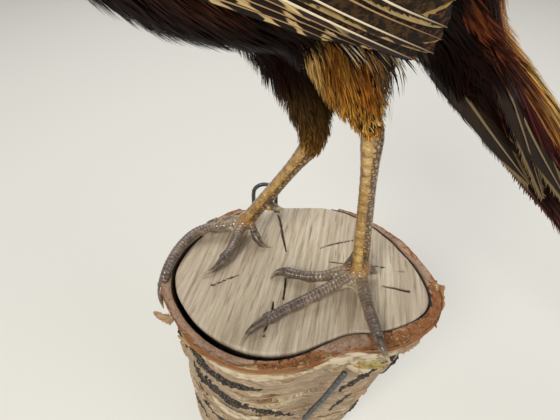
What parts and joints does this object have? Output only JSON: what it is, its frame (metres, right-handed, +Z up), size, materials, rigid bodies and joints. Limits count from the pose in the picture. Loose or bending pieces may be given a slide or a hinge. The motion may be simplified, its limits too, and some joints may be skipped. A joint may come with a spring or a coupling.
{
  "type": "taxidermy cock pheasant on a birch wall mount",
  "caption": "Still, life-size mounted cock pheasant stepping along a leaning birch stub with a flat sawn back and a wire hanging loop.",
  "frame": {"origin": "middle of the stub's flat sawn back, where it rests against the wall", "axes": "+Z up, +Y into the wall, +X along the wall to the right as the room sees it; the bird walks towards -X"},
  "size_m": [0.5633, 0.1143, 0.5779],
  "materials": {
    "plumage_dark": "soft dark maroon feathers",
    "plumage_copper": "glossy copper feathers with dark edges",
    "plumage_green": "iridescent green-black feathers",
    "plumage_buff": "buff feathers with dark bars",
    "plumage_brown": "brown flight feathers with cream marks",
    "leg_scale": "varnished yellow-brown scales",
    "toe_skin": "varnished dark ringed scales",
    "horn": "polished horn",
    "eye_glass": "glass eye, amber round a black pupil",
    "wattle_skin": "red granular skin",
    "sawn_wood": "rough sawn end grain",
    "birch_bark": "peeling birch bark",
    "dark_wire": "dull dark wire"
  },
  "bodies": {
    "root": {"bill_lower": "horn", "bill_upper": "horn", "claw_left_hind": "horn", "claw_left_inner": "horn", "claw_left_middle": "horn", "claw_left_outer": "horn", "claw_right_hind": "horn", "claw_right_inner": "horn", "claw_right_middle": "horn", "claw_right_outer": "horn", "ear_tuft_left": "plumage_green", "ear_tuft_right": "plumage_green", "eye_left": "eye_glass", "eye_right": "eye_glass", "hanger_loop": "dark_wire", "head": "plumage_green", "leg_wire_end": "dark_wire", "log_bark": "birch_bark", "log_wood": "sawn_wood", "neck_lower": "plumage_copper", "neck_upper": "plumage_green", "rump": "plumage_dark", "shank_left": "leg_scale", "shank_right": "leg_scale", "spur_left": "horn", "spur_right": "horn", "tail_centre": "plumage_buff", "tail_coverts": "plumage_dark", "tail_left": "plumage_buff", "tail_right": "plumage_buff", "thigh_left": "plumage_copper", "thigh_right": "plumage_copper", "toe_left_hind": "toe_skin", "toe_left_inner": "toe_skin", "toe_left_middle": "toe_skin", "toe_left_outer": "toe_skin", "toe_right_hind": "toe_skin", "toe_right_inner": "toe_skin", "toe_right_middle": "toe_skin", "toe_right_outer": "toe_skin", "trunk": "plumage_copper", "wattle_left": "wattle_skin", "wattle_right": "wattle_skin", "wing_left_coverts": "plumage_buff", "wing_left_quills": "plumage_brown", "wing_right_coverts": "plumage_buff", "wing_right_quills": "plumage_brown"}
  },
  "joints": []
}
